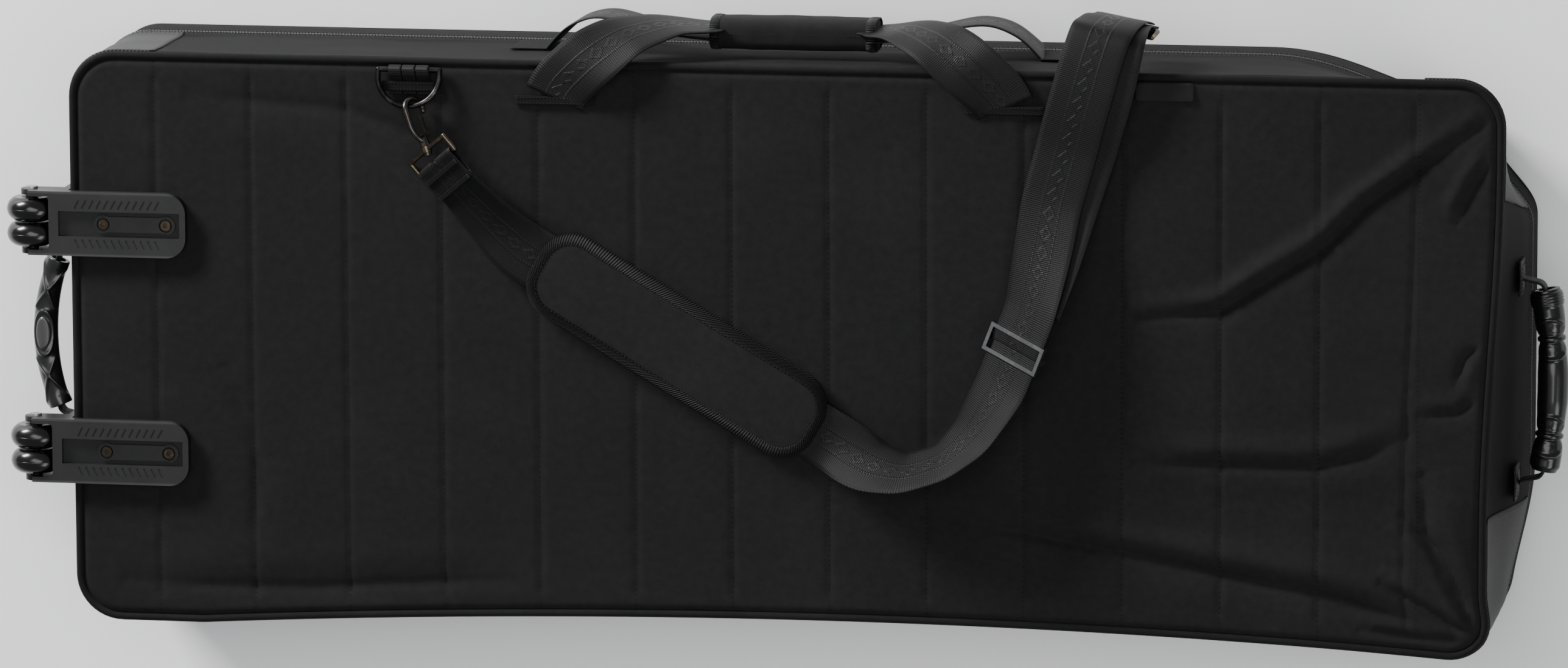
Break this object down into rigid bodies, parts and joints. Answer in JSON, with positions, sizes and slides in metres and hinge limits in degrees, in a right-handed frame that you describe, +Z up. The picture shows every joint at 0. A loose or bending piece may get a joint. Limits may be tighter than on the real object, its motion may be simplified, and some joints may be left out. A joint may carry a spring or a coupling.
{
  "type": "wheeled gear bag",
  "caption": "Long soft rectangular gear bag with a quilted back, corner wear patches, tow wheels, end grips, a carry handle and a padded shoulder strap.",
  "frame": {"origin": "centre of the front cover's flat outer face, which lies on the floor", "axes": "+X along the bag to the tow-grip end, away from the wheels; +Y to the carry-handle side; +Z up, out of the quilted back panel"},
  "size_m": [1.296, 0.5279, 0.2181],
  "materials": {
    "panel_fabric": "black plain-weave polyester, quilted, dull",
    "side_fabric": "black plain-weave polyester, dull",
    "piping": "black fabric-covered cord",
    "mesh_patch": "coarse black basket-weave wear patch",
    "foam": "closed-cell padding",
    "lining": "thin dark grey nylon lining",
    "webbing": "satin black polyester webbing",
    "pad_fabric": "black fabric pad with ribbed binding",
    "zip_coil": "black nylon coil",
    "label": "dark grey satin label, blank",
    "moulded_grey": "dark grey moulded nylon, fine grain",
    "tread": "gloss black polyurethane",
    "hub_plastic": "black nylon",
    "grip_rubber": "gloss black moulded grip",
    "bronze_steel": "bronze-toned zinc plate",
    "steel": "zinc plate",
    "dark_nickel": "polished dark nickel",
    "ring_black": "gloss black plated wire",
    "stiffener": "black polyethylene plate"
  },
  "bodies": {
    "front": {"front_cover": "panel_fabric", "front_foam": "foam", "front_lining": "lining", "front_gusset": "side_fabric", "front_piping": "piping", "zip_tape_lower": "zip_coil", "zip_chain_lower": "zip_coil", "hinge_flap": "panel_fabric"},
    "shell": {"back_cover": "panel_fabric", "back_foam": "foam", "back_piping": "piping", "backing_plates": "stiffener", "bracket_bolts": "bronze_steel", "bracket_nuts": "steel", "grip_anchors": "panel_fabric", "gusset": "side_fabric", "gusset_foam": "foam", "handle_band_back": "webbing", "handle_band_front": "webbing", "handle_bases": "panel_fabric", "hold_down_straps": "webbing", "label_flag": "label", "ring_tabs": "webbing", "shell_lining": "lining", "shoulder_strap": "webbing", "strap_eye_left": "dark_nickel", "strap_eye_right": "dark_nickel", "strap_return": "webbing", "wear_patches": "mesh_patch", "wheel_axles": "steel", "wheel_bracket_lower": "moulded_grey", "wheel_bracket_upper": "moulded_grey", "zip_chain_upper": "zip_coil", "zip_tape_upper": "zip_coil"},
    "zip_slider_left": {"zip_slider_left": "zip_coil"},
    "zip_slider_right": {"zip_slider_right": "zip_coil"},
    "zip_pull_left": {"zip_pull_left": "zip_coil"},
    "zip_pull_right": {"zip_pull_right": "zip_coil"},
    "carry_handle": {"handle_wrap": "pad_fabric", "handle_core": "webbing"},
    "ring_left": {"d_ring_left": "ring_black"},
    "ring_right": {"d_ring_right": "ring_black"},
    "hook_left": {"snap_hook_left": "dark_nickel"},
    "hook_right": {"snap_hook_right": "dark_nickel"},
    "gate_left": {"hook_gate_left": "dark_nickel"},
    "gate_right": {"hook_gate_right": "dark_nickel"},
    "glide": {"strap_glide": "dark_nickel"},
    "pad": {"shoulder_pad": "pad_fabric"},
    "left_grip": {"grip_left": "grip_rubber", "grip_web_left": "webbing"},
    "right_grip": {"grip_right": "grip_rubber", "grip_web_right": "webbing"},
    "wheel_upper_outer": {"tyre_upper_outer": "tread", "hub_upper_outer": "hub_plastic"},
    "wheel_upper_inner": {"tyre_upper_inner": "tread", "hub_upper_inner": "hub_plastic"},
    "wheel_lower_outer": {"tyre_lower_outer": "tread", "hub_lower_outer": "hub_plastic"},
    "wheel_lower_inner": {"tyre_lower_inner": "tread", "hub_lower_inner": "hub_plastic"}
  },
  "joints": [
    {"name": "cover_hinge", "type": "hinge", "parent": "front", "child": "shell", "pos_m": [0, -0.24, 0.048], "axis": [1, 0, 0], "range_deg": [0, 100]},
    {"name": "wheel_upper_outer_spin", "type": "hinge", "parent": "shell", "child": "wheel_upper_outer", "pos_m": [-0.632, 0.10635, 0.165], "axis": [0, 1, 0], "continuous": true},
    {"name": "wheel_upper_inner_spin", "type": "hinge", "parent": "shell", "child": "wheel_upper_inner", "pos_m": [-0.632, 0.08565, 0.165], "axis": [0, 1, 0], "continuous": true},
    {"name": "wheel_lower_outer_spin", "type": "hinge", "parent": "shell", "child": "wheel_lower_outer", "pos_m": [-0.632, -0.10635, 0.165], "axis": [0, 1, 0], "continuous": true},
    {"name": "wheel_lower_inner_spin", "type": "hinge", "parent": "shell", "child": "wheel_lower_inner", "pos_m": [-0.632, -0.08565, 0.165], "axis": [0, 1, 0], "continuous": true},
    {"name": "handle_lift", "type": "slide", "parent": "shell", "child": "carry_handle", "axis": [0, 1, 0], "range_m": [0, 0.035]},
    {"name": "ring_left_swing", "type": "hinge", "parent": "shell", "child": "ring_left", "pos_m": [-0.308, 0.231, 0.17655], "axis": [1, 0, 0], "range_deg": [-1, 2]},
    {"name": "ring_right_swing", "type": "hinge", "parent": "shell", "child": "ring_right", "pos_m": [0.268, 0.231, 0.17655], "axis": [1, 0, 0], "range_deg": [0, 3]},
    {"name": "hook_left_swivel", "type": "hinge", "parent": "shell", "child": "hook_left", "pos_m": [-0.29039, 0.1671, 0.19123], "axis": [-0.3381, 0.9233, -0.1821], "range_deg": [-5, 10]},
    {"name": "gate_left_press", "type": "hinge", "parent": "hook_left", "child": "gate_left", "pos_m": [-0.29156, 0.17798, 0.18544], "axis": [0.7333, 0.3797, 0.564], "range_deg": [0, 14], "stiffness_Nm_per_rad": 0.05, "springref_deg": -17.19},
    {"name": "hook_right_swivel", "type": "hinge", "parent": "shell", "child": "hook_right", "pos_m": [0.27549, 0.26884, 0.13357], "axis": [-0.2009, -0.221, 0.9544], "range_deg": [-5, 10]},
    {"name": "gate_right_press", "type": "hinge", "parent": "hook_right", "child": "gate_right", "pos_m": [0.27318, 0.26182, 0.14351], "axis": [-0.9796, 0.0453, -0.1957], "range_deg": [0, 14], "stiffness_Nm_per_rad": 0.05, "springref_deg": -17.19},
    {"name": "glide_slide", "type": "slide", "parent": "shell", "child": "glide", "axis": [0.3584, 0.9336, 0], "range_m": [-0.018, 0.018]},
    {"name": "pad_slide", "type": "slide", "parent": "shell", "child": "pad", "axis": [0.8607, -0.509, 0], "range_m": [-0.012, 0.012]},
    {"name": "left_grip_tilt", "type": "hinge", "parent": "shell", "child": "left_grip", "pos_m": [-0.6029, -0.006, 0.118], "axis": [0, 1, 0], "range_deg": [-15, 15]},
    {"name": "right_grip_tilt", "type": "hinge", "parent": "shell", "child": "right_grip", "pos_m": [0.6029, -0.016, 0.1], "axis": [0, 1, 0], "range_deg": [-15, 15]},
    {"name": "zip_slider_left_run", "type": "slide", "parent": "front", "child": "zip_slider_left", "axis": [1, 0, 0], "range_m": [-0.4, 0]},
    {"name": "zip_slider_right_run", "type": "slide", "parent": "front", "child": "zip_slider_right", "axis": [1, 0, 0], "range_m": [0, 0.4]},
    {"name": "zip_pull_left_swing", "type": "hinge", "parent": "zip_slider_left", "child": "zip_pull_left", "pos_m": [-0.009, 0.2443, 0.048], "axis": [0, 0, -1], "range_deg": [0, 120]},
    {"name": "zip_pull_right_swing", "type": "hinge", "parent": "zip_slider_right", "child": "zip_pull_right", "pos_m": [0.009, 0.2443, 0.048], "axis": [0, 0, 1], "range_deg": [0, 120]}
  ]
}
